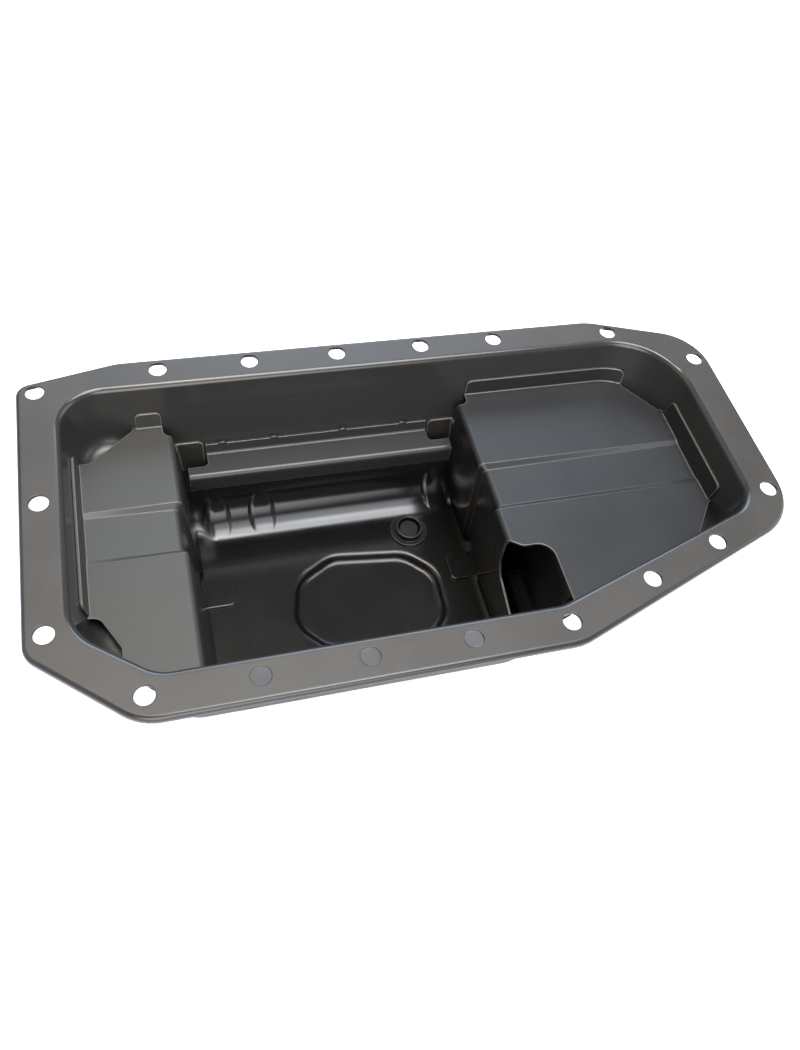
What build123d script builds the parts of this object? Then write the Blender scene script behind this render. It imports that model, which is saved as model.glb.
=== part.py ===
from build123d import *
from math import atan2, cos, degrees, radians, tan
import os

# Pressed-steel engine oil pan, millimetres. X runs along the crankshaft, Y across
# it and Z up. The origin is under the middle of the flange, on the ground that the
# pan stands on, so the gasket face looks up.

# Bolting flange
flange_length = 392.0
flange_width = 204.0
sheet = 1.5
lip_depth = 3.8
lip_radius = 2.3
mouth_radius = 3.2
bolt_hole = 9.4
corner_cuts = {
    "front_left": (45.6, 38.8),
    "back_left": (51.3, 10.7),
    "back_right": (65.3, 20.7),
    "front_right": (143.3, 51.0),
}

# Mouth of the hollow, from the width of the flange that is left on each side
left_land = 20.5
right_land = 21.3
back_land = 19.5
front_land = 21.5
mouth_front_left_cut = (34.3, 25.7)
mouth_front_right_cut = (125.7, 40.3)

# Hollow: a shallow tray over the whole mouth, and the sump in its middle
wall_draft = 8.0
tray_depth = 36.0
tray_radius = 8.0
sump_depth = 104.0
left_shelf = 18.5
right_shelf = 97.2
sump_corner = 34.0
sump_radius = 20.0
rim_radius = 6.0

# Pressed panel in the sump floor, which the pan stands on
panel_drop = 3.5
panel_slope = 32.0
panel_corner_radius = 19.0
panel_radius = 2.5

# Darts across the bends between the sump's floor and its long walls, at these
# distances from the sump's left end, and one by its right end at the back
dart_radius = 10.0
dart_reach = 21.0
dart_rise = 14.0
left_darts = [56.5, 84.0]
right_dart = 38.0

# Drain: weld boss on the sump floor, closed by a collar plug and a washer
drain_from_right = 61.5
drain_from_back = 15.5
boss_flange = 23.0
boss_flange_height = 1.5
boss_collar = 17.6
boss_collar_height = 4.3
boss_bore = 13.6
fit_gap = 0.1
washer_diameter = 20.0
washer_thickness = 1.0
plug_collar = 19.0
plug_collar_thickness = 2.0
plug_short = 2.5
plug_socket = 6.0
plug_socket_depth = 4.5

# Baffles: a plate over each shallow end, folded down into the sump as a skirt
weld_gap = 0.2
baffle_sheet = 1.2
plate_depth = 27.0
bend_radius = 1.6
channel_front = -5.5
channel_back = 25.5
channel_drop = 2.5
channel_slope = 3.0
channel_fade = 0.7
left_skirt_margin = 3.998
left_skirt_lean = 0.105
right_skirt_margin = 1.498
right_skirt_lean = 0.066
skirt_clearance = 6.0
foot_length = 15.0
left_foot = (1.0, 19.0)
right_foot = (-4.5, 13.5)
flap_height = 10.5
flap_corner = 3.0
plate_corner = 6.0
back_cut_step = 5.8
left_flap_span = (46.5, 26.5)
left_back_flap = (4.5, 18.5)
left_front_flap = (5.0, 17.5)
left_back_cut = (34.5, 10.9, 25.5)
left_front_cut = (9.3, 18.5, 45.2, 27.5)
right_flap_span = (61.9, 36.5)
right_back_flap = (7.0, 22.7)
right_front_flap = (89.7, 49.7)
right_back_cut = (22.7, 6.9, 33.5)
right_front_cut = (4.2, 24.7, 61.5, 35.5)
left_notch = 4.5
right_notch = 6.8
pickup_length = 23.8
pickup_width = 49.7
pickup_slant = 5.5
back_notch = 12.5
wall_tab_length = 15.0
wall_tab_height = 21.0
left_tab_depth = 42.0
right_tab_depth = 45.0

# Z-section rail welded to the sump's back wall, between the skirts
rail_sheet = 1.5
rail_bend = 1.5
rail_depth = 51.0
rail_flange_height = 6.5
rail_width = 18.3
rail_lip = 11.5
rail_end_gap = 4.0
rail_notch_width = 10.5
rail_tab_gap = 1.5

# Bolt holes: a row along each side, between two distances from the flange's ends and
# at an inset from its edge, and two pairs round the right corners
back_row = dict(start=72.25, end=172.45, count=4, inset=7.9)
front_row = dict(start=48.7, end=146.5, count=5, inset=11.9)
left_row = dict(start=47.8, end=16.2, count=3, inset=9.6)
right_row = dict(start=69.0, end=38.2, count=2, inset=8.9)
back_right_bolts = [(127.95, 7.9), (55.25, 10.8)]
front_right_bolts = [(97.15, 27.2), (53.45, 41.9)]

# Heights, measured up from the ground
flange_top = sump_depth + sheet + panel_drop
sump_floor = flange_top - sump_depth
tray_floor = flange_top - tray_depth

half_length = flange_length / 2
half_width = flange_width / 2
mouth_left = left_land - half_length
mouth_right = half_length - right_land
mouth_back = half_width - back_land
mouth_front = front_land - half_width

sump_left = mouth_left + left_shelf
sump_right = mouth_right - right_shelf


def spaced(row, length):
    """Places along a row of holes, measured from the middle of a flange of this length."""
    first = row["start"] - length / 2
    last = length / 2 - row["end"]
    return [first + (last - first) * step / (row["count"] - 1) for step in range(row["count"])]


bolt_places = [(x, half_width - back_row["inset"]) for x in spaced(back_row, flange_length)]
bolt_places += [(x, front_row["inset"] - half_width) for x in spaced(front_row, flange_length)]
bolt_places += [(left_row["inset"] - half_length, y) for y in spaced(left_row, flange_width)]
bolt_places += [(half_length - right_row["inset"], y) for y in spaced(right_row, flange_width)]
bolt_places += [(half_length - x, half_width - y) for x, y in back_right_bolts]
bolt_places += [(half_length - x, y - half_width) for x, y in front_right_bolts]

# The sump's flat floor, inside the bends to its long walls, and what is placed from it
bend_reach = sump_depth * tan(radians(wall_draft)) + sump_radius * tan(radians(90 - wall_draft) / 2)
floor_back = mouth_back - bend_reach
floor_front = mouth_front + bend_reach
panel_corners = [
    (sump_left + 97.0, floor_back - 38.5),
    (sump_left + 120.5, floor_back - 25.5),
    (sump_right - 68.0, floor_back - 30.5),
    (sump_right - 51.0, floor_back - 46.5),
    (sump_right - 52.0, floor_front + 22.5),
    (sump_right - 65.5, floor_front + 8.5),
    (sump_left + 107.0, floor_front + 12.5),
    (sump_left + 90.0, floor_front + 30.5),
]
panel_sides = [Vector(*start).sub(Vector(*end)).length
               for start, end in zip(panel_corners, panel_corners[1:] + panel_corners[:1])]
panel_rounding = min(panel_corner_radius, 0.98 * min(panel_sides))
front_darts = [sump_left + reach for reach in left_darts]
back_darts = front_darts + [sump_right - right_dart]
drain_x = sump_right - drain_from_right
drain_y = floor_back - drain_from_back
left_skirt = sump_left + bend_reach + left_skirt_margin
right_skirt = sump_right - bend_reach - right_skirt_margin


def flange_outline():
    cut = corner_cuts
    FilletPolyline(
        (-half_length + cut["front_left"][0], -half_width),
        (half_length - cut["front_right"][0], -half_width),
        (half_length, -half_width + cut["front_right"][1]),
        (half_length, half_width - cut["back_right"][1]),
        (half_length - cut["back_right"][0], half_width),
        (-half_length + cut["back_left"][0], half_width),
        (-half_length, half_width - cut["back_left"][1]),
        (-half_length, -half_width + cut["front_left"][1]),
        radius=[25, 30, 32, 30, 30, 30, 8, 12],
        close=True,
    )


def mouth_outline():
    FilletPolyline(
        (mouth_left + mouth_front_left_cut[0], mouth_front),
        (mouth_right - mouth_front_right_cut[0], mouth_front),
        (mouth_right, mouth_front + mouth_front_right_cut[1]),
        (mouth_right, mouth_back),
        (mouth_left, mouth_back),
        (mouth_left, mouth_front + mouth_front_left_cut[1]),
        radius=[18, 18, 19, 40, 22, 23],
        close=True,
    )


def lean_walls(form):
    """Draft of the upright sides, which stay where they are at the gasket face."""
    sides = form.faces().filter_by(lambda face: abs(face.normal_at().Z) < 0.5)
    draft(sides, Plane.XY.offset(flange_top), -wall_draft)


def drawn_mouth(grow, depth):
    """The mouth drawn down to a depth, with its walls moved outwards by grow."""
    with BuildPart() as form:
        with BuildSketch(Plane.XY.offset(flange_top)):
            with BuildLine():
                mouth_outline()
            make_face()
            if grow:
                offset(amount=grow / cos(radians(wall_draft)))
        extrude(amount=-depth)
        lean_walls(form)
    return form.part


def drawn_sump(grow, depth):
    """The sump's rounded rectangle, drawn down in the same way."""
    side = grow / cos(radians(wall_draft))
    with BuildPart() as form:
        with BuildSketch(Plane.XY.offset(flange_top)):
            with Locations(((sump_left + sump_right) / 2, (mouth_front + mouth_back) / 2)):
                RectangleRounded(
                    sump_right - sump_left + 2 * side,
                    mouth_back - mouth_front + 2 * side,
                    sump_corner + side,
                )
        extrude(amount=-depth)
        lean_walls(form)
    return form.part


def hollow(grow):
    """The pan's hollow as a solid, with every wall moved outwards by grow."""
    shelf = tray_floor - grow
    with BuildPart() as surround:
        Box(2 * flange_length, 2 * flange_width, flange_top, align=(Align.CENTER, Align.CENTER, Align.MIN))
        add(drawn_mouth(grow, sump_depth + sheet + grow), mode=Mode.SUBTRACT)
    with BuildPart() as tray:
        add(drawn_mouth(grow, tray_depth + grow))
        fillet(tray.faces().sort_by(Axis.Z)[0].edges(), tray_radius + grow)
    with BuildPart() as well:
        add(drawn_sump(grow, sump_depth + grow))
        fillet(well.faces().sort_by(Axis.Z)[0].edges(), sump_radius + grow)
        with BuildSketch(Plane.XY.offset(shelf)):
            Rectangle(flange_length, flange_width)
        extrude(amount=tray_depth)
        at_shelf = well.edges().filter_by_position(Axis.Z, shelf - 0.01, shelf + 0.01)
        rim = at_shelf.filter_by(lambda edge: edge.bounding_box().size.Y < mouth_back - mouth_front
                                 and edge.bounding_box().size.X < sump_right - sump_left)
        fillet(rim, rim_radius - grow)
        split(bisect_by=Plane.XY.offset(shelf), keep=Keep.BOTTOM)
        add(surround.part, mode=Mode.SUBTRACT)
    with BuildPart() as whole:
        add(tray.part)
        add(drawn_sump(grow, tray_depth + grow))
        add(well.part)
    return whole.part


def panel_hollow(grow):
    """The pressed floor panel below the sump floor, grown like the hollow."""
    level = sump_floor - grow
    with BuildPart() as form:
        with BuildSketch(Plane.XY.offset(level)):
            with BuildLine():
                FilletPolyline(*panel_corners, radius=panel_rounding, close=True)
            make_face()
            offset(amount=grow * tan(radians(90 - panel_slope) / 2) + 0.01)
        extrude(amount=-panel_drop)
        sides = form.faces().filter_by(lambda face: abs(face.normal_at().Z) < 0.5)
        draft(sides, Plane.XY.offset(level), -panel_slope)
        fillet(form.faces().sort_by(Axis.Z)[0].edges(), panel_radius + grow)
    return form.part


def darts(grow):
    """Round ridges that lie across the floor bends, from a toe on the floor up the wall."""
    wall_foot = sump_depth * tan(radians(wall_draft))
    run = dart_reach + dart_rise * tan(radians(wall_draft))
    slant = (run ** 2 + dart_rise ** 2) ** 0.5
    with BuildPart() as ridges:
        for side, places in ((1, back_darts), (-1, front_darts)):
            wall = mouth_back - wall_foot if side > 0 else mouth_front + wall_foot
            along = Vector(0, side * run / slant, dart_rise / slant)
            outward = Vector(0, side * dart_rise / slant, -run / slant)
            for x in places:
                toe = Vector(x, wall - side * dart_reach, sump_floor)
                start = toe + outward * dart_radius - along * dart_radius
                with BuildSketch(Plane(origin=start, x_dir=(1, 0, 0), z_dir=along)):
                    Circle(dart_radius - grow)
                extrude(amount=slant + 2 * dart_radius)
    return ridges.part


def pressed_hollow(grow):
    """The whole hollow, with the floor panel pressed down and the darts pressed in."""
    with BuildPart() as form:
        add(hollow(grow))
        add(panel_hollow(grow))
        level = sump_floor - grow
        brim = form.edges().filter_by_position(Axis.Z, level - 0.01, level + 0.01).filter_by(in_panel)
        fillet(brim, panel_radius - grow)
        add(darts(grow), mode=Mode.SUBTRACT)
    return form.part


def in_panel(edge):
    box = edge.bounding_box()
    xs = [corner[0] for corner in panel_corners]
    ys = [corner[1] for corner in panel_corners]
    inside_x = min(xs) - 3 < box.min.X and box.max.X < max(xs) + 3
    return inside_x and min(ys) - 3 < box.min.Y and box.max.Y < max(ys) + 3


def in_mouth(edge):
    box = edge.bounding_box()
    return box.min.X > mouth_left - left_land / 2 and box.max.X < mouth_right + right_land / 2


# Pan shell: flange, turned-down lip, tray and sump drawn from one sheet
lip_inside = lip_radius - sheet
with BuildPart() as under_flange:
    with BuildSketch(Plane.XY.offset(flange_top - sheet)):
        with BuildLine():
            flange_outline()
        make_face()
        offset(amount=-sheet)
    extrude(amount=sheet - lip_depth)
    fillet(under_flange.edges().group_by(Axis.Z)[-1], lip_inside)

with BuildPart() as pan_shell:
    with BuildSketch(Plane.XY.offset(flange_top)):
        with BuildLine():
            flange_outline()
        make_face()
    extrude(amount=-lip_depth)
    fillet(pan_shell.edges().group_by(Axis.Z)[-1], lip_radius)
    add(under_flange.part, mode=Mode.SUBTRACT)
    add(pressed_hollow(sheet))
    underside = pan_shell.edges().filter_by_position(Axis.Z, flange_top - sheet - 0.01, flange_top - sheet + 0.01)
    fillet(underside.filter_by(in_mouth), mouth_radius - sheet)
    add(pressed_hollow(0), mode=Mode.SUBTRACT)
    topside = pan_shell.edges().filter_by_position(Axis.Z, flange_top - 0.01, flange_top + 0.01)
    fillet(topside.filter_by(in_mouth), mouth_radius)
    with Locations(Plane.XY.offset(flange_top)):
        with Locations(*bolt_places):
            Hole(bolt_hole / 2, depth=lip_depth)
    with Locations((drain_x, drain_y, sump_floor)):
        Hole(boss_collar / 2, depth=sheet)

# Drain boss: turned steel, its spigot through the floor and welded round
boss_top = sump_floor + boss_flange_height + boss_collar_height
drain_plane = Plane(origin=(drain_x, drain_y, sump_floor), x_dir=(1, 0, 0), z_dir=(0, -1, 0))
drain_axis = Axis((drain_x, drain_y, 0), (0, 0, 1))
with BuildPart() as drain_boss:
    with BuildSketch(drain_plane):
        with BuildLine():
            Polyline(
                (boss_bore / 2, -sheet),
                (boss_collar / 2, -sheet),
                (boss_collar / 2, 0),
                (boss_flange / 2, 0),
                (boss_flange / 2, boss_flange_height),
                (boss_collar / 2, boss_flange_height),
                (boss_collar / 2, boss_flange_height + boss_collar_height),
                (boss_bore / 2, boss_flange_height + boss_collar_height),
                close=True,
            )
        make_face()
    revolve(axis=drain_axis)
    chamfer(drain_boss.edges().filter_by(GeomType.CIRCLE).group_by(Axis.Z)[-1], 0.4)

# Drain washer and plug, under the floor
washer_top = sump_floor - sheet
with BuildPart() as drain_washer:
    with BuildSketch(Plane.XY.offset(washer_top)):
        with Locations((drain_x, drain_y)):
            Circle(washer_diameter / 2)
            Circle(boss_bore / 2, mode=Mode.SUBTRACT)
    extrude(amount=-washer_thickness)

plug_seat = washer_top - washer_thickness
with BuildPart() as drain_plug:
    with BuildSketch(Plane.XY.offset(plug_seat)):
        with Locations((drain_x, drain_y)):
            Circle(plug_collar / 2)
    extrude(amount=-plug_collar_thickness)
    chamfer(drain_plug.edges().group_by(Axis.Z)[0], 0.6)
    with BuildSketch(Plane.XY.offset(plug_seat)):
        with Locations((drain_x, drain_y)):
            Circle(boss_bore / 2 - fit_gap)
    extrude(amount=boss_top - plug_short - plug_seat)
    chamfer(drain_plug.edges().group_by(Axis.Z)[-1], 1.0)
    with BuildSketch(Plane.XY.offset(plug_seat - plug_collar_thickness)):
        with Locations((drain_x, drain_y)):
            RegularPolygon(plug_socket / 2, 6, major_radius=False)
    extrude(amount=plug_socket_depth, mode=Mode.SUBTRACT)

# Baffles
plate_top = flange_top - plate_depth
plate_under = plate_top - baffle_sheet
joggle_turn = atan2(channel_drop, channel_slope) / 2


def baffle_block(face, lean, side, inward):
    """The space under a baffle's plate and behind its skirt. The side is -1 for the left end.

    The channel is deepest at the skirt, and part of it fades out towards the end wall.
    """
    far = side * flange_length
    end_wall = mouth_left if side < 0 else mouth_right
    fade = channel_fade * (far - face) / (end_wall - face)
    spread = inward * tan(joggle_turn)
    stations = [
        (-flange_width, 0),
        (channel_front - spread, 0),
        (channel_front + channel_slope - spread, channel_drop),
        (channel_back - channel_slope + spread, channel_drop),
        (channel_back + spread, 0),
        (flange_width, 0),
    ]
    with BuildPart() as block:
        for y, sunk in stations:
            top = plate_top - inward - sunk
            across = face + side * (inward + sunk) * (1 + lean ** 2) ** 0.5
            with BuildSketch(Plane.XZ.offset(-y)):
                with BuildLine():
                    bend = FilletPolyline((far, top + sunk * fade), (across + lean * (plate_top - top), top),
                                          (across + lean * plate_top, 0), radius=bend_radius + baffle_sheet - inward)
                    Polyline(bend @ 1, (far, 0), bend @ 0)
                make_face()
        loft(ruled=True)
    return block.part


# The hollow as the welded pieces fill it, and sheet that lies all over its inside
room = hollow(-weld_gap)
with BuildPart() as skin:
    add(room)
    add(hollow(-weld_gap - baffle_sheet), mode=Mode.SUBTRACT)


def flap(plane, reach, start, end, low, high):
    """A piece of the wall's skin, cut out along a plane by a rounded rectangle."""
    with BuildPart() as piece:
        with BuildSketch(plane):
            with BuildLine():
                FilletPolyline((start, low), (start, high), (end, high), (end, low), radius=flap_corner)
                Line((end, low), (start, low))
            make_face()
        extrude(amount=reach)
        add(skin.part, mode=Mode.INTERSECT)
    return piece.part


sunk_under = plate_under - channel_drop
flap_top = plate_top + flap_height
foot_top = sump_floor + weld_gap + baffle_sheet
skirt_bottom = sump_floor + skirt_clearance
notch_edge = mouth_back - back_notch
pickup_edge = mouth_front + pickup_width


def foot(face, lean, side, front, back):
    """The foot folded from a skirt, on the sump's floor."""
    toe = face + lean * (plate_top - sump_floor)
    heel = toe + side * (channel_drop + baffle_sheet)
    tip = toe - side * foot_length
    with BuildPart() as tread:
        with BuildSketch(Plane.XY.offset(sump_floor + weld_gap)):
            with BuildLine():
                FilletPolyline((heel, front), (tip, front), (tip, back), (heel, back), radius=flap_corner)
                Line((heel, back), (heel, front))
            make_face()
        extrude(amount=baffle_sheet)
    return tread.part


def skirt_gap(front, back):
    """What is cut from a skirt's lower edge, between two places along it."""
    with BuildPart() as gap:
        with BuildSketch(Plane.XY):
            with BuildLine():
                Polyline((-flange_length, front), (flange_length, front), (flange_length, back),
                         (-flange_length, back), close=True)
            make_face()
        extrude(amount=skirt_bottom)
    return gap.part


# Left baffle, over the end of the pan that is square to the flange
left_tab_top = flange_top - left_tab_depth
left_tab_root = left_skirt - baffle_sheet
left_tab_end = left_skirt + wall_tab_length + left_skirt_lean * (left_tab_depth - plate_depth)
with BuildPart() as left_baffle:
    add(baffle_block(left_skirt, left_skirt_lean, -1, 0))
    add(foot(left_skirt, left_skirt_lean, -1, *left_foot))
    add(room, mode=Mode.INTERSECT)
    # Folds up the end wall, the back wall and the front wall
    add(flap(Plane.YZ.offset(left_skirt), -flange_width, mouth_front + left_flap_span[0],
             mouth_back - left_flap_span[1], sunk_under, flap_top))
    add(flap(Plane.XZ, -flange_width, left_skirt - left_back_flap[1], left_skirt - left_back_flap[0],
             plate_under, flap_top - 1.0))
    add(flap(Plane.XZ, flange_width, left_skirt - left_front_flap[1], left_skirt - left_front_flap[0],
             plate_under, flap_top - 1.0))
    # The tab by which the skirt is welded to the back wall
    add(flap(Plane.XZ, -flange_width, left_tab_root, left_tab_end, left_tab_top - wall_tab_height, left_tab_top))
    add(baffle_block(left_skirt, left_skirt_lean, -1, baffle_sheet), mode=Mode.SUBTRACT)
    # Both outer corners of the plate
    with BuildSketch(Plane.XY.offset(sunk_under)):
        with BuildLine():
            near, far, down = left_back_cut
            FilletPolyline((mouth_left + near, half_width), (mouth_left + near, mouth_back - back_cut_step),
                           (mouth_left + far, mouth_back - down), (-half_length, mouth_back - down),
                           (-half_length, half_width), radius=plate_corner, close=True)
        make_face()
        with BuildLine():
            near, far, high, low = left_front_cut
            FilletPolyline((-half_length, mouth_front + high), (mouth_left + near, mouth_front + high),
                           (mouth_left + far, mouth_front + low), (mouth_left + far, -half_width),
                           (-half_length, -half_width), radius=plate_corner, close=True)
        make_face()
    extrude(amount=plate_depth, mode=Mode.SUBTRACT)
    # The notch at the back of the skirt, and its lower edge on both sides of the foot
    with BuildSketch(Plane.XY.offset(left_tab_top)):
        with BuildLine():
            edge = left_skirt - left_notch
            FilletPolyline((edge, half_width), (edge, notch_edge), (0, notch_edge), (0, half_width),
                           radius=4, close=True)
        make_face()
    extrude(amount=left_tab_depth, mode=Mode.SUBTRACT)
    add(skirt_gap(-half_width, left_foot[0]), mode=Mode.SUBTRACT)
    add(skirt_gap(left_foot[1], half_width), mode=Mode.SUBTRACT)

# Right baffle, with an open corner for the oil pick-up
right_tab_top = flange_top - right_tab_depth
right_tab_root = right_skirt + right_skirt_lean * (right_tab_depth + wall_tab_height) + baffle_sheet
right_tab_end = right_skirt - wall_tab_length + right_skirt_lean * (right_tab_depth - plate_depth)
with BuildPart() as right_baffle:
    add(baffle_block(right_skirt, right_skirt_lean, 1, 0))
    add(foot(right_skirt, right_skirt_lean, 1, *right_foot))
    add(room, mode=Mode.INTERSECT)
    add(flap(Plane.YZ.offset(right_skirt), flange_width, mouth_front + right_flap_span[0],
             mouth_back - right_flap_span[1], sunk_under, flap_top + 1.0))
    add(flap(Plane.XZ, -flange_width, right_skirt + right_back_flap[0], mouth_right - right_back_flap[1],
             plate_under, flap_top - 1.0))
    add(flap(Plane.XZ, flange_width, mouth_right - right_front_flap[0], mouth_right - right_front_flap[1],
             plate_under, flap_top - 1.0))
    add(flap(Plane.XZ, -flange_width, right_tab_end, right_tab_root, right_tab_top - wall_tab_height, right_tab_top))
    add(baffle_block(right_skirt, right_skirt_lean, 1, baffle_sheet), mode=Mode.SUBTRACT)
    with BuildSketch(Plane.XY.offset(sunk_under)):
        with BuildLine():
            near, far, down = right_back_cut
            FilletPolyline((mouth_right - near, half_width), (mouth_right - near, mouth_back - 2 * back_cut_step),
                           (mouth_right - far, mouth_back - down), (half_length, mouth_back - right_flap_span[1]),
                           (half_length, half_width), radius=plate_corner, close=True)
        make_face()
        with BuildLine():
            near, far, high, low = right_front_cut
            FilletPolyline((half_length, mouth_front + high), (mouth_right - near, mouth_front + high),
                           (mouth_right - far, mouth_front + low), (mouth_right - far, -half_width),
                           (half_length, -half_width), radius=plate_corner, close=True)
        make_face()
    extrude(amount=plate_depth, mode=Mode.SUBTRACT)
    with BuildSketch(Plane.XY.offset(right_tab_top)):
        with BuildLine():
            edge = right_skirt + right_notch
            FilletPolyline((0, notch_edge), (edge, notch_edge), (edge, half_width), (0, half_width),
                           radius=4, close=True)
        make_face()
    extrude(amount=right_tab_depth, mode=Mode.SUBTRACT)
    # The pick-up opening: out of the plate's front corner, and down into the skirt
    with BuildSketch(Plane.XY.offset(sunk_under)):
        with BuildLine():
            FilletPolyline((0, pickup_edge + pickup_slant), (right_skirt, pickup_edge + pickup_slant),
                           (right_skirt + 8, pickup_edge), (right_skirt + pickup_length, pickup_edge),
                           (right_skirt + pickup_length, -half_width), (0, -half_width),
                           radius=[1, 5, 6, 9, 1, 1], close=True)
        make_face()
    extrude(amount=plate_depth, mode=Mode.SUBTRACT)
    with BuildSketch(Plane.YZ):
        with BuildLine():
            edge = pickup_edge + pickup_slant
            FilletPolyline((edge, sunk_under), (edge, flange_top - 50.5), (edge - 4.5, flange_top - 58.5),
                           (edge - 25, flange_top - 65.0), (-half_width, flange_top - 72.5),
                           (-half_width, sunk_under), radius=[1, 3, 5, 12, 1, 1], close=True)
        make_face()
    extrude(amount=right_skirt + pickup_length, mode=Mode.SUBTRACT)
    add(skirt_gap(-half_width, right_foot[0]), mode=Mode.SUBTRACT)
    add(skirt_gap(right_foot[1], half_width), mode=Mode.SUBTRACT)


def wall_at(height):
    """Where a sheet welded to the back wall has its outer face, at a height."""
    lean = tan(radians(wall_draft))
    return mouth_back - (flange_top - height) * lean - weld_gap / cos(radians(wall_draft))


# Rear rail: an upright flange on the back wall, a shelf and a lip down its front edge
shelf_top = flange_top - rail_depth
shelf_under = shelf_top - rail_sheet
shelf_front = wall_at(shelf_top) - rail_width
rail_left = left_skirt + left_skirt_lean * (rail_depth - plate_depth) + rail_end_gap
rail_right = right_skirt + right_skirt_lean * (rail_depth - plate_depth) - rail_end_gap
with BuildPart() as rear_rail:
    with BuildSketch(Plane.YZ.offset(rail_left)):
        with BuildLine() as rail_path:
            FilletPolyline(
                (wall_at(shelf_top + rail_flange_height), shelf_top + rail_flange_height),
                (wall_at(shelf_under), shelf_under),
                (shelf_front + rail_sheet, shelf_under),
                (shelf_front + rail_sheet, shelf_top - rail_lip),
                radius=[rail_bend + rail_sheet, rail_bend],
            )
            offset(amount=rail_sheet, side=Side.RIGHT)
        make_face()
    extrude(amount=rail_right - rail_left)
    # Both ends of the shelf stand clear of the tabs on the back wall
    with BuildSketch(Plane.XY.offset(shelf_top - rail_lip)):
        with BuildLine():
            FilletPolyline((rail_left - 9, half_width), (rail_left - 9, wall_at(shelf_top) - rail_notch_width),
                           (left_tab_end + rail_tab_gap, wall_at(shelf_top) - rail_notch_width),
                           (left_tab_end + rail_tab_gap, half_width), radius=3, close=True)
        make_face()
        with BuildLine():
            FilletPolyline((rail_right + 9, half_width), (rail_right + 9, wall_at(shelf_top) - rail_notch_width),
                           (right_tab_end - rail_tab_gap, wall_at(shelf_top) - rail_notch_width),
                           (right_tab_end - rail_tab_gap, half_width), radius=3, close=True)
        make_face()
    extrude(amount=rail_lip + rail_flange_height + rail_sheet, mode=Mode.SUBTRACT)

pan_shell.part.label = "pan_shell"
left_baffle.part.label = "left_baffle"
right_baffle.part.label = "right_baffle"
rear_rail.part.label = "rear_rail"
drain_boss.part.label = "drain_boss"
drain_washer.part.label = "drain_washer"
drain_plug.part.label = "drain_plug"

os.makedirs("parts", exist_ok=True)
export_step(pan_shell.part, "parts/pan_shell.step")
export_step(left_baffle.part, "parts/left_baffle.step")
export_step(right_baffle.part, "parts/right_baffle.step")
export_step(rear_rail.part, "parts/rear_rail.step")
export_step(drain_boss.part, "parts/drain_boss.step")
export_step(drain_washer.part, "parts/drain_washer.step")
export_step(drain_plug.part, "parts/drain_plug.step")
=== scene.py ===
from math import cos, radians, sin

import bpy
import numpy as np
from mathutils import Matrix, Vector


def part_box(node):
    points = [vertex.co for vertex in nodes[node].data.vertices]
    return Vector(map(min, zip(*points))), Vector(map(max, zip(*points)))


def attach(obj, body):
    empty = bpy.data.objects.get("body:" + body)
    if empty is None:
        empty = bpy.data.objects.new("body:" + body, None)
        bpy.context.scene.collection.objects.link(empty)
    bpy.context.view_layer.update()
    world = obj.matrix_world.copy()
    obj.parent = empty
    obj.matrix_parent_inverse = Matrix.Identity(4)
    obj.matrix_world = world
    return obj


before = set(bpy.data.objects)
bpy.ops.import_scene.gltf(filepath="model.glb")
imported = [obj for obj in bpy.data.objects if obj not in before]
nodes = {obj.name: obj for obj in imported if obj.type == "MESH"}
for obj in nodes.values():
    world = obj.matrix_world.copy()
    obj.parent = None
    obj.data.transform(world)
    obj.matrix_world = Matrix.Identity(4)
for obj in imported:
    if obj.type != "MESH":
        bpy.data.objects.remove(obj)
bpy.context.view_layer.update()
flange_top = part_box("pan_shell")[1][2]


# Camera, solved from the photograph's flange edges and bolt holes. Its place is given
# from the middle of the gasket face, and its axes as rightwards, downwards and forwards.
camera_place = Vector((-0.1232, -0.2440, 0.3559))
camera_right = Vector((0.96424, -0.23608, 0.12044))
camera_down = Vector((-0.13336, -0.82493, -0.54927))
camera_forward = Vector((0.22903, 0.51357, -0.82692))

camera_data = bpy.data.cameras.new("camera")
camera_data.lens = 29.96
camera_data.sensor_width = 36
camera_data.shift_x = 0.0117
camera_data.clip_start = 0.01
camera = bpy.data.objects.new("camera", camera_data)
bpy.context.scene.collection.objects.link(camera)
turn = Matrix((camera_right, -camera_down, -camera_forward)).transposed().to_4x4()
camera.matrix_world = Matrix.Translation(camera_place + Vector((0, 0, flange_top))) @ turn
bpy.context.scene.camera = camera
bpy.context.scene.view_settings.view_transform = "Standard"


# Studio light: a dim tent all round and a few soft boxes, the two strongest overhead.
# Each box has an azimuth from +Y towards +X and an elevation, the half-width of its even
# middle and of its soft edge, all in degrees, and a strength and a colour.
tent_strength = 0.26
tent_colour = (0.97, 0.98, 1.0)
boxes = [
    (80, 80, 8, 18, 12.0, (0.93, 0.96, 1.0)),
    (335, 78, 4, 14, 13.0, (1.0, 0.88, 0.72)),
    (150, 70, 4, 16, 5.0, (0.93, 0.96, 1.0)),
    (12, 34, 4, 24, 6.5, (0.66, 0.82, 1.0)),
    (285, 40, 8, 32, 0.8, (1.0, 0.92, 0.82)),
    (95, 22, 6, 30, 2.6, (1.0, 0.94, 0.86)),
    (190, 26, 8, 34, 5.5, (1.0, 0.96, 0.92)),
]
backdrop_white = (1, 1, 1, 1)


def direction(azimuth, elevation):
    """The unit vector towards a place in the sky: its share along the ground, turned by
    the azimuth, and its height."""
    flat = cos(radians(elevation))
    return (flat * sin(radians(azimuth)), flat * cos(radians(azimuth)), sin(radians(elevation)))


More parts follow.
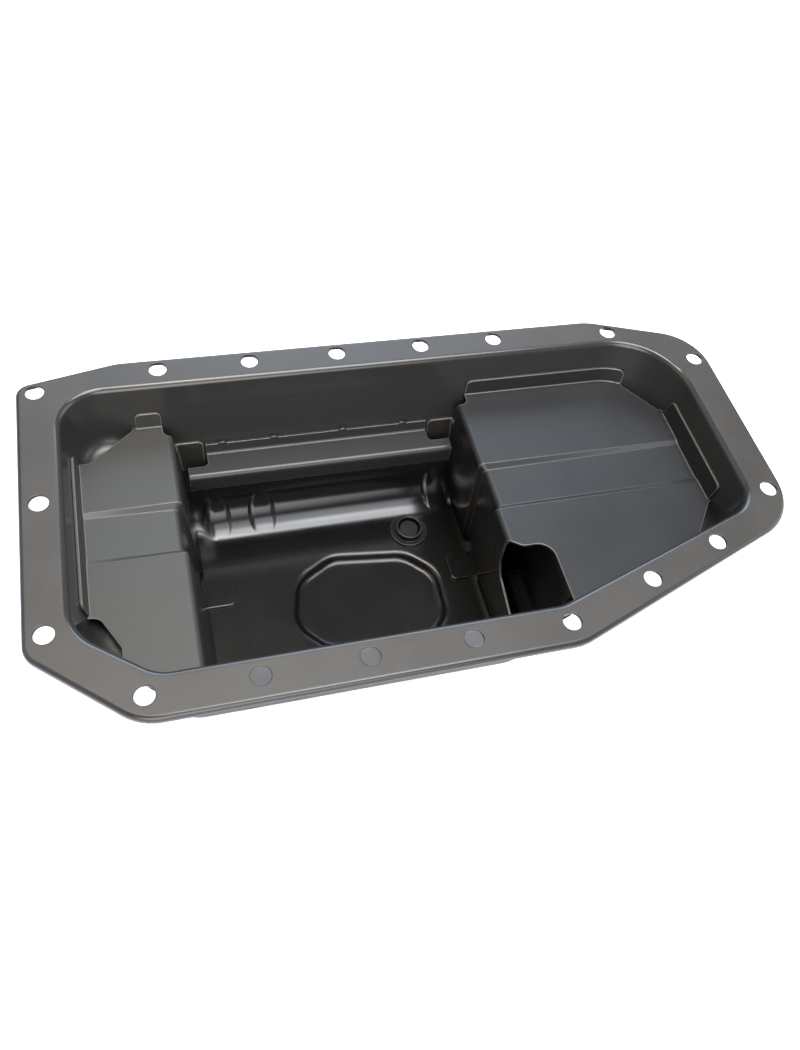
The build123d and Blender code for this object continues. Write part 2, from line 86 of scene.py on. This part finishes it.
world = bpy.data.worlds.new("tent")
bpy.context.scene.world = world
world.use_nodes = True
sky = world.node_tree
background = sky.nodes["Background"]
coordinates = sky.nodes.new("ShaderNodeTexCoord")
tent = sky.nodes.new("ShaderNodeVectorMath")
tent.operation = "SCALE"
tent.inputs[0].default_value = tent_colour
tent.inputs["Scale"].default_value = tent_strength
total = tent.outputs[0]
for azimuth, elevation, middle, edge, strength, colour in boxes:
    facing = sky.nodes.new("ShaderNodeVectorMath")
    facing.operation = "DOT_PRODUCT"
    facing.inputs[1].default_value = direction(azimuth, elevation)
    sky.links.new(coordinates.outputs["Generated"], facing.inputs[0])
    falloff = sky.nodes.new("ShaderNodeMapRange")
    falloff.interpolation_type = "SMOOTHSTEP"
    falloff.inputs["From Min"].default_value = cos(radians(edge))
    falloff.inputs["From Max"].default_value = cos(radians(middle))
    falloff.inputs["To Max"].default_value = strength
    sky.links.new(facing.outputs["Value"], falloff.inputs["Value"])
    glow = sky.nodes.new("ShaderNodeVectorMath")
    glow.operation = "SCALE"
    glow.inputs[0].default_value = colour
    sky.links.new(falloff.outputs["Result"], glow.inputs["Scale"])
    joined = sky.nodes.new("ShaderNodeVectorMath")
    joined.operation = "ADD"
    sky.links.new(total, joined.inputs[0])
    sky.links.new(glow.outputs[0], joined.inputs[1])
    total = joined.outputs[0]
sky.links.new(total, background.inputs["Color"])

# The camera sees plain white behind the object
backdrop = sky.nodes.new("ShaderNodeBackground")
backdrop.inputs["Color"].default_value = backdrop_white
rays = sky.nodes.new("ShaderNodeLightPath")
chosen = sky.nodes.new("ShaderNodeMixShader")
sky.links.new(rays.outputs["Is Camera Ray"], chosen.inputs["Fac"])
sky.links.new(background.outputs["Background"], chosen.inputs[1])
sky.links.new(backdrop.outputs["Background"], chosen.inputs[2])
sky.links.new(chosen.outputs["Shader"], sky.nodes["World Output"].inputs["Surface"])


# Floor: a pale, faintly blue sheet that the pan stands on. It glows for the camera, so
# that it shows as white, and only dimly in the pan's gloss, and keeps the soft shadow.
floor_size = 6.0
floor_colour = (0.76, 0.79, 0.86)
floor_roughness = 0.9
glow_to_camera = 0.6
glow_in_gloss = 0.1

bpy.ops.mesh.primitive_plane_add(size=floor_size, location=(0, 0, 0))
floor = bpy.context.object
floor.name = "floor"
floor_material = bpy.data.materials.new("floor")
floor_material.use_nodes = True
floor_tree = floor_material.node_tree
floor_shader = floor_tree.nodes["Principled BSDF"]
floor_shader.inputs["Base Color"].default_value = (*floor_colour, 1)
floor_shader.inputs["Roughness"].default_value = floor_roughness
floor_shader.inputs["Specular IOR Level"].default_value = 0
floor_shader.inputs["Emission Color"].default_value = (1, 1, 1, 1)
seen = floor_tree.nodes.new("ShaderNodeLightPath")
in_gloss = floor_tree.nodes.new("ShaderNodeMath")
in_gloss.operation = "MULTIPLY"
in_gloss.inputs[1].default_value = glow_in_gloss
to_camera = floor_tree.nodes.new("ShaderNodeMath")
to_camera.operation = "MULTIPLY_ADD"
to_camera.inputs[1].default_value = glow_to_camera
floor_tree.links.new(seen.outputs["Is Glossy Ray"], in_gloss.inputs[0])
floor_tree.links.new(seen.outputs["Is Camera Ray"], to_camera.inputs[0])
floor_tree.links.new(in_gloss.outputs[0], to_camera.inputs[2])
floor_tree.links.new(to_camera.outputs[0], floor_shader.inputs["Emission Strength"])
floor.data.materials.append(floor_material)


# Pan shell: one deep-drawn steel pressing with a dipped black electro-coat. The press
# has smoothed the bends and walls, and the flat gasket face is duller and hazier.
shell_black = (0.030, 0.030, 0.030)
# Painted shade: the coat is drawn darker towards the sump's floor, for the shade down in the sump
sump_shade_black = (0.007, 0.007, 0.007)
gasket_haze = (0.020, 0.018, 0.016)
worn_haze = (0.054, 0.050, 0.046)
wall_roughness = 0.14
tray_roughness = 0.32
gasket_roughness = 0.44
edge_roughness = 0.16

# Heights between which one finish goes over to the next
# The first pair is where the painted shade at the sump's floor gives way to the wall's black
sump_shade_to_wall = (0.012, 0.045)
wall_to_tray = (0.062, 0.070)
tray_to_wall = (0.090, 0.096)
skin_of_gasket_face = (flange_top - 0.00006, flange_top - 0.00001)

# How far the shading rounds the edges over: at the panel, the sump's bends and elsewhere
panel_edge = 0.0035
sump_edge = 0.0090
fine_edge = 0.0009
panel_to_bend = (0.005, 0.010)
bend_to_fine = (0.030, 0.050)

# The coat's patches and its orange peel, as noise scales to the metre, and the dot product of the
# two normals at which an edge starts to look worn and shinier and fully does; some materials also
# pale such edges as a painted highlight
patch_scale = 28
patch_detail = 5
patch_breakup = 0.6
peel_scale = 700
peel_detail = 2
peel_height = 0.0001
edge_samples = 8
wear_and_sheen_from, wear_and_sheen_full = 0.99, 0.90


def coat_group():
    """Electro-coat: patches in the roughness, orange peel, and rounded, shinier edges.

    The edge mask grows as the dot product of the surface's normal and its rounded-over
    one falls. The roughness is the given one plus the centred patch noise times Patches,
    and goes over to the edges' roughness by that mask. The peel is a fine noise as bump."""
    group = bpy.data.node_groups.new("electro_coat", "ShaderNodeTree")
    face = group.interface
    for name, value, low, high in (
        ("Roughness", 0.35, 0, 1),
        ("Patches", 0.05, 0, 1),
        ("Peel", 0.1, 0, 1),
        ("Edge", 0.0006, 0, 0.02),
    ):
        socket = face.new_socket(name, in_out="INPUT", socket_type="NodeSocketFloat")
        socket.default_value = value
        socket.min_value = low
        socket.max_value = high
    face.new_socket("Roughness", in_out="OUTPUT", socket_type="NodeSocketFloat")
    face.new_socket("Worn_and_sheen", in_out="OUTPUT", socket_type="NodeSocketFloat")
    face.new_socket("Cloud", in_out="OUTPUT", socket_type="NodeSocketFloat")
    face.new_socket("Normal", in_out="OUTPUT", socket_type="NodeSocketVector")
    made = group.nodes
    links = group.links
    given = made.new("NodeGroupInput")
    result = made.new("NodeGroupOutput")
    place = made.new("ShaderNodeTexCoord")

    rounded = made.new("ShaderNodeBevel")
    rounded.samples = edge_samples
    links.new(given.outputs["Edge"], rounded.inputs["Radius"])
    surface = made.new("ShaderNodeNewGeometry")
    turned = made.new("ShaderNodeVectorMath")
    turned.operation = "DOT_PRODUCT"
    links.new(rounded.outputs["Normal"], turned.inputs[0])
    links.new(surface.outputs["Normal"], turned.inputs[1])
    worn_and_sheen = made.new("ShaderNodeMapRange")
    worn_and_sheen.inputs["From Min"].default_value = wear_and_sheen_from
    worn_and_sheen.inputs["From Max"].default_value = wear_and_sheen_full
    links.new(turned.outputs["Value"], worn_and_sheen.inputs["Value"])
    links.new(worn_and_sheen.outputs["Result"], result.inputs["Worn_and_sheen"])

    broad = made.new("ShaderNodeTexNoise")
    broad.inputs["Scale"].default_value = patch_scale
    broad.inputs["Detail"].default_value = patch_detail
    broad.inputs["Roughness"].default_value = patch_breakup
    links.new(place.outputs["Object"], broad.inputs["Vector"])
    links.new(broad.outputs["Fac"], result.inputs["Cloud"])
    centred = made.new("ShaderNodeMath")
    centred.operation = "SUBTRACT"
    centred.inputs[1].default_value = 0.5
    links.new(broad.outputs["Fac"], centred.inputs[0])
    patch = made.new("ShaderNodeMath")
    patch.operation = "MULTIPLY_ADD"
    links.new(centred.outputs[0], patch.inputs[0])
    links.new(given.outputs["Patches"], patch.inputs[1])
    links.new(given.outputs["Roughness"], patch.inputs[2])
    polish = made.new("ShaderNodeMix")
    polish.inputs["B"].default_value = edge_roughness
    links.new(worn_and_sheen.outputs["Result"], polish.inputs["Factor"])
    links.new(patch.outputs[0], polish.inputs["A"])
    links.new(polish.outputs["Result"], result.inputs["Roughness"])

    peel = made.new("ShaderNodeTexNoise")
    peel.inputs["Scale"].default_value = peel_scale
    peel.inputs["Detail"].default_value = peel_detail
    links.new(place.outputs["Object"], peel.inputs["Vector"])
    bump = made.new("ShaderNodeBump")
    bump.inputs["Distance"].default_value = peel_height
    links.new(given.outputs["Peel"], bump.inputs["Strength"])
    links.new(peel.outputs["Fac"], bump.inputs["Height"])
    links.new(rounded.outputs["Normal"], bump.inputs["Normal"])
    links.new(bump.outputs["Normal"], result.inputs["Normal"])
    return group


electro_coat = coat_group()


def height_level(tree, low, high, at_low=0.0, at_high=1.0):
    """A node whose value goes evenly from one to another between two heights on the object."""
    place = tree.nodes.new("ShaderNodeTexCoord")
    height = tree.nodes.new("ShaderNodeSeparateXYZ")
    level = tree.nodes.new("ShaderNodeMapRange")
    level.inputs["From Min"].default_value = low
    level.inputs["From Max"].default_value = high
    level.inputs["To Min"].default_value = at_low
    level.inputs["To Max"].default_value = at_high
    tree.links.new(place.outputs["Object"], height.inputs["Vector"])
    tree.links.new(height.outputs["Z"], level.inputs["Value"])
    return level


def shade_over(tree, under, over, factor):
    """A colour laid over another one by a factor; either may be a colour or a socket."""
    shade = tree.nodes.new("ShaderNodeMix")
    shade.data_type = "RGBA"
    for name, colour in (("A", under), ("B", over)):
        if isinstance(colour, tuple):
            shade.inputs[name].default_value = (*colour, 1)
        else:
            tree.links.new(colour, shade.inputs[name])
    tree.links.new(factor, shade.inputs["Factor"])
    return shade.outputs["Result"]


def coat(name, roughness, patches, peel, edge):
    """A material with the electro-coat group on its Principled shader, and no colour yet."""
    material = bpy.data.materials.new(name)
    material.use_nodes = True
    tree = material.node_tree
    shader = tree.nodes["Principled BSDF"]
    finish = tree.nodes.new("ShaderNodeGroup")
    finish.name = "finish"
    finish.node_tree = electro_coat
    finish.inputs["Roughness"].default_value = roughness
    finish.inputs["Patches"].default_value = patches
    finish.inputs["Peel"].default_value = peel
    finish.inputs["Edge"].default_value = edge
    tree.links.new(finish.outputs["Roughness"], shader.inputs["Roughness"])
    tree.links.new(finish.outputs["Normal"], shader.inputs["Normal"])
    return material


def dress(node, material):
    """Puts one material on all the slots of a CAD node."""
    for slot in nodes[node].material_slots:
        slot.material = material


pan_coat = coat("pan_coat", roughness=wall_roughness, patches=0.12, peel=0.06, edge=fine_edge)
tree = pan_coat.node_tree
finish = tree.nodes["finish"]
on_gasket_face = height_level(tree, *skin_of_gasket_face)
dull = height_level(tree, *skin_of_gasket_face, wall_roughness, gasket_roughness)
tray_top = height_level(tree, *tray_to_wall, tray_roughness, wall_roughness)
tray = height_level(tree, *wall_to_tray, wall_roughness, tray_roughness)
tree.links.new(tray_top.outputs["Result"], tray.inputs["To Max"])
tree.links.new(tray.outputs["Result"], dull.inputs["To Min"])
tree.links.new(dull.outputs["Result"], finish.inputs["Roughness"])
# Painted shade: darker towards the sump's floor, going over to the wall's black higher up
above_sump_shade = height_level(tree, *sump_shade_to_wall)
shade = shade_over(tree, sump_shade_black, shell_black, above_sump_shade.outputs["Result"])
haze = shade_over(tree, gasket_haze, worn_haze, finish.outputs["Cloud"])
shade = shade_over(tree, shade, haze, on_gasket_face.outputs["Result"])
tree.links.new(shade, tree.nodes["Principled BSDF"].inputs["Base Color"])

# The sump's bends and darts run out softly, and the panel a little less softly
soft_bend = height_level(tree, *panel_to_bend, panel_edge, sump_edge)
tight_edge = height_level(tree, *bend_to_fine, sump_edge, fine_edge)
tree.links.new(soft_bend.outputs["Result"], tight_edge.inputs["To Min"])
tree.links.new(tight_edge.outputs["Result"], finish.inputs["Edge"])

# The bend from the sump's floor up its back wall catches the light as a wider one than
# the solid's. It starts at one depth of the floor, ends at one height of the wall, and
# fades in along each axis between two places.
bend_start_y = 0.0425
bend_top_z = 0.033
bend_fades = (
    ("X", -0.112, -0.102),
    ("X", 0.048, 0.036),
    ("Y", 0.034, 0.040),
    ("Z", 0.034, 0.022),
)
alike_from, alike_full = 0.60, 0.88
least_reach = 0.00001


def calculate(tree, operation, first, second):
    """One sum on two values, each a number or a socket."""
    made = tree.nodes.new("ShaderNodeMath")
    made.operation = operation
    for socket, value in ((made.inputs[0], first), (made.inputs[1], second)):
        if isinstance(value, (int, float)):
            socket.default_value = value
        else:
            tree.links.new(value, socket)
    return made.outputs[0]


def ramp(tree, value, start, end):
    """A value from 0 to 1 as another one goes from its start to its end."""
    made = tree.nodes.new("ShaderNodeMapRange")
    made.inputs["From Min"].default_value = start
    made.inputs["From Max"].default_value = end
    tree.links.new(value, made.inputs["Value"])
    return made.outputs["Result"]


def wide_bend_normal(tree, plain_normal):
    """The normal of a round bend from the sump's floor up its back wall, laid over the plain one.

    It points from the surface to the bend's axis, and holds only inside the sump, where
    the surface already faces nearly the same way."""
    place = tree.nodes.new("ShaderNodeTexCoord")
    split = tree.nodes.new("ShaderNodeSeparateXYZ")
    tree.links.new(place.outputs["Object"], split.inputs["Vector"])
    to_axis_y = calculate(tree, "SUBTRACT", bend_start_y, split.outputs["Y"])
    inward = calculate(tree, "MINIMUM", to_axis_y, -least_reach)
    to_axis_z = calculate(tree, "SUBTRACT", bend_top_z, split.outputs["Z"])
    upward = calculate(tree, "MAXIMUM", to_axis_z, least_reach)
    joined = tree.nodes.new("ShaderNodeCombineXYZ")
    tree.links.new(inward, joined.inputs["Y"])
    tree.links.new(upward, joined.inputs["Z"])
    unit = tree.nodes.new("ShaderNodeVectorMath")
    unit.operation = "NORMALIZE"
    tree.links.new(joined.outputs["Vector"], unit.inputs[0])
    surface = tree.nodes.new("ShaderNodeNewGeometry")
    alike = tree.nodes.new("ShaderNodeVectorMath")
    alike.operation = "DOT_PRODUCT"
    tree.links.new(unit.outputs[0], alike.inputs[0])
    tree.links.new(surface.outputs["Normal"], alike.inputs[1])
    held = ramp(tree, alike.outputs["Value"], alike_from, alike_full)
    for axis, start, end in bend_fades:
        held = calculate(tree, "MULTIPLY", held, ramp(tree, split.outputs[axis], start, end))
    laid = tree.nodes.new("ShaderNodeMix")
    laid.data_type = "VECTOR"
    tree.links.new(held, laid.inputs["Factor"])
    tree.links.new(plain_normal, laid.inputs["A"])
    tree.links.new(unit.outputs[0], laid.inputs["B"])
    return laid.outputs["Result"]


bent = wide_bend_normal(tree, finish.outputs["Normal"])
tree.links.new(bent, tree.nodes["Principled BSDF"].inputs["Normal"])
dress("pan_shell", pan_coat)


# Baffles: two folded steel sheets over the shallow ends, spot-welded to the walls, with
# the same coat, duller on the plates and darker down the skirts, with painted shade at the feet.
left_plate_black = (0.036, 0.036, 0.034)
right_plate_black = (0.016, 0.017, 0.019)
skirt_black = (0.028, 0.027, 0.026)
# Painted shade: the feet down on the sump's floor are drawn darker than the skirts
foot_shade_black = (0.008, 0.008, 0.008)
# Partly worn coat and partly a painted highlight: the colour that edges are paled towards
bare_edge_and_highlight = (0.18, 0.165, 0.14)
left_plate_roughness = 0.40
right_plate_roughness = 0.38
skirt_roughness = 0.13

# Heights between which one finish goes over to the next
shine_to_plate = (0.040, 0.076)
# The second pair is where the painted shade at the feet gives way to the skirt's black
foot_shade_to_skirt = (0.010, 0.040)
skirt_to_plate = (0.060, 0.076)
# Painted highlight, partly wear: the edges' paling grows with height, towards where the light falls
edge_wear_and_sheen_rise = (0.0, 0.05)


def baffle_coat(name, plate_black, plate_roughness):
    """The electro-coat with its colour and its roughness changing by height, from the foot,
    darkened as painted shade, up the skirt to the plate, and paler on its edges, partly worn and
    partly a painted highlight, the more the higher."""
    material = coat(name, roughness=plate_roughness, patches=0.20, peel=0.08, edge=0.0012)
    tree = material.node_tree
    finish = tree.nodes["finish"]
    level = height_level(tree, *shine_to_plate, skirt_roughness, plate_roughness)
    tree.links.new(level.outputs["Result"], finish.inputs["Roughness"])
    # Painted shade: the feet darker, going over to the skirt's black higher up
    above_foot_shade = height_level(tree, *foot_shade_to_skirt)
    shade = shade_over(tree, foot_shade_black, skirt_black, above_foot_shade.outputs["Result"])
    on_the_plate = height_level(tree, *skirt_to_plate)
    shade = shade_over(tree, shade, plate_black, on_the_plate.outputs["Result"])
    higher = height_level(tree, *edge_wear_and_sheen_rise)
    # Painted highlight and wear: the edge mask pales the edges, more so higher up
    worn_and_sheen = calculate(tree, "MULTIPLY", finish.outputs["Worn_and_sheen"], higher.outputs["Result"])
    shade = shade_over(tree, shade, bare_edge_and_highlight, worn_and_sheen)
    tree.links.new(shade, tree.nodes["Principled BSDF"].inputs["Base Color"])
    return material


dress("left_baffle", baffle_coat("left_baffle_coat", left_plate_black, left_plate_roughness))
dress("right_baffle", baffle_coat("right_baffle_coat", right_plate_black, right_plate_roughness))


# Rear rail: a Z-section strip on the back wall of the sump, spot-welded between the two
# skirts, with the same black coat.
rail_black = (0.026, 0.026, 0.026)

rail_coat = coat("rail_coat", roughness=0.30, patches=0.10, peel=0.06, edge=0.0008)
tree = rail_coat.node_tree
# Partly worn coat and partly a painted highlight: the edge mask pales the rail's edges
shade = shade_over(tree, rail_black, bare_edge_and_highlight, tree.nodes["finish"].outputs["Worn_and_sheen"])
tree.links.new(shade, tree.nodes["Principled BSDF"].inputs["Base Color"])
dress("rear_rail", rail_coat)


# Weld marks: four low puckers on the rail's upper edge, where its spot welds pull the
# sheet against the back wall.
weld_middle_y = 0.0752
weld_middle_z = 0.0645
weld_half = (0.0030, 0.0011, 0.0013)
weld_places = (-0.0935, -0.0637, -0.0227, 0.0136)
weld_rows = 9
weld_columns = 20


def pucker(name, middle, half, rows=weld_rows, columns=weld_columns):
    """A closed, flattened ball: half-widths times the unit sphere's latitude and longitude grid."""
    latitude = np.linspace(-np.pi / 2, np.pi / 2, rows)[1:-1, None]
    longitude = np.linspace(0, 2 * np.pi, columns, endpoint=False)[None, :]
    ring = np.stack([np.cos(latitude) * np.cos(longitude),
                     np.cos(latitude) * np.sin(longitude),
                     np.sin(latitude) * np.ones_like(longitude)], axis=-1).reshape(-1, 3)
    points = np.vstack([ring, [(0, 0, -1), (0, 0, 1)]]) * half + middle
    row, column = np.meshgrid(np.arange(rows - 3), np.arange(columns), indexing="ij")
    here = row * columns + column
    beside = row * columns + (column + 1) % columns
    sides = np.stack([here, beside, beside + columns, here + columns], axis=-1).reshape(-1, 4)
    column = np.arange(columns)
    after = (column + 1) % columns
    south, north = len(points) - 2, len(points) - 1
    last = (rows - 3) * columns
    caps = np.vstack([np.stack([after, column, np.full(columns, south)], axis=-1),
                      np.stack([last + column, last + after, np.full(columns, north)], axis=-1)])
    mesh = bpy.data.meshes.new(name)
    mesh.from_pydata(points.tolist(), [], sides.tolist() + caps.tolist())
    mesh.shade_smooth()
    made = bpy.data.objects.new(name, mesh)
    bpy.context.scene.collection.objects.link(made)
    return made


for number, across in enumerate(weld_places, start=1):
    mark = pucker(f"rail_weld_{number}", (across, weld_middle_y, weld_middle_z), weld_half)
    mark.data.materials.append(rail_coat)
    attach(mark, "pan")


# Drain: a turned weld boss on the sump's floor, dipped black with the pan, and the
# collar screw plug and its washer, which close it from below.
boss_black = (0.012, 0.012, 0.012)
# Partly worn coat and partly a painted highlight: the colour the boss's edges are paled towards
boss_bare_edge_and_highlight = (0.12, 0.11, 0.09)
washer_grey = (0.7, 0.7, 0.7)
plug_black = (0.03, 0.03, 0.03)
grain_scale = 400
grain_share = 0.2

boss_coat = coat("boss_coat", roughness=0.20, patches=0.05, peel=0.05, edge=0.0004)
tree = boss_coat.node_tree
# Painted highlight and wear: the edge mask pales the boss's edges
shade = shade_over(tree, boss_black, boss_bare_edge_and_highlight, tree.nodes["finish"].outputs["Worn_and_sheen"])
tree.links.new(shade, tree.nodes["Principled BSDF"].inputs["Base Color"])
dress("drain_boss", boss_coat)


def metal(name, colour, roughness):
    """Bare metal whose roughness wanders a fifth either way, with a fine noise."""
    material = bpy.data.materials.new(name)
    material.use_nodes = True
    tree = material.node_tree
    shader = tree.nodes["Principled BSDF"]
    shader.inputs["Metallic"].default_value = 1
    shader.inputs["Base Color"].default_value = (*colour, 1)
    place = tree.nodes.new("ShaderNodeTexCoord")
    fine = tree.nodes.new("ShaderNodeTexNoise")
    fine.inputs["Scale"].default_value = grain_scale
    tree.links.new(place.outputs["Object"], fine.inputs["Vector"])
    spread = tree.nodes.new("ShaderNodeMapRange")
    spread.inputs["To Min"].default_value = roughness * (1 - grain_share)
    spread.inputs["To Max"].default_value = roughness * (1 + grain_share)
    tree.links.new(fine.outputs["Fac"], spread.inputs["Value"])
    tree.links.new(spread.outputs["Result"], shader.inputs["Roughness"])
    return material


dress("drain_washer", metal("washer_metal", washer_grey, roughness=0.35))
dress("drain_plug", metal("plug_steel", plug_black, roughness=0.4))
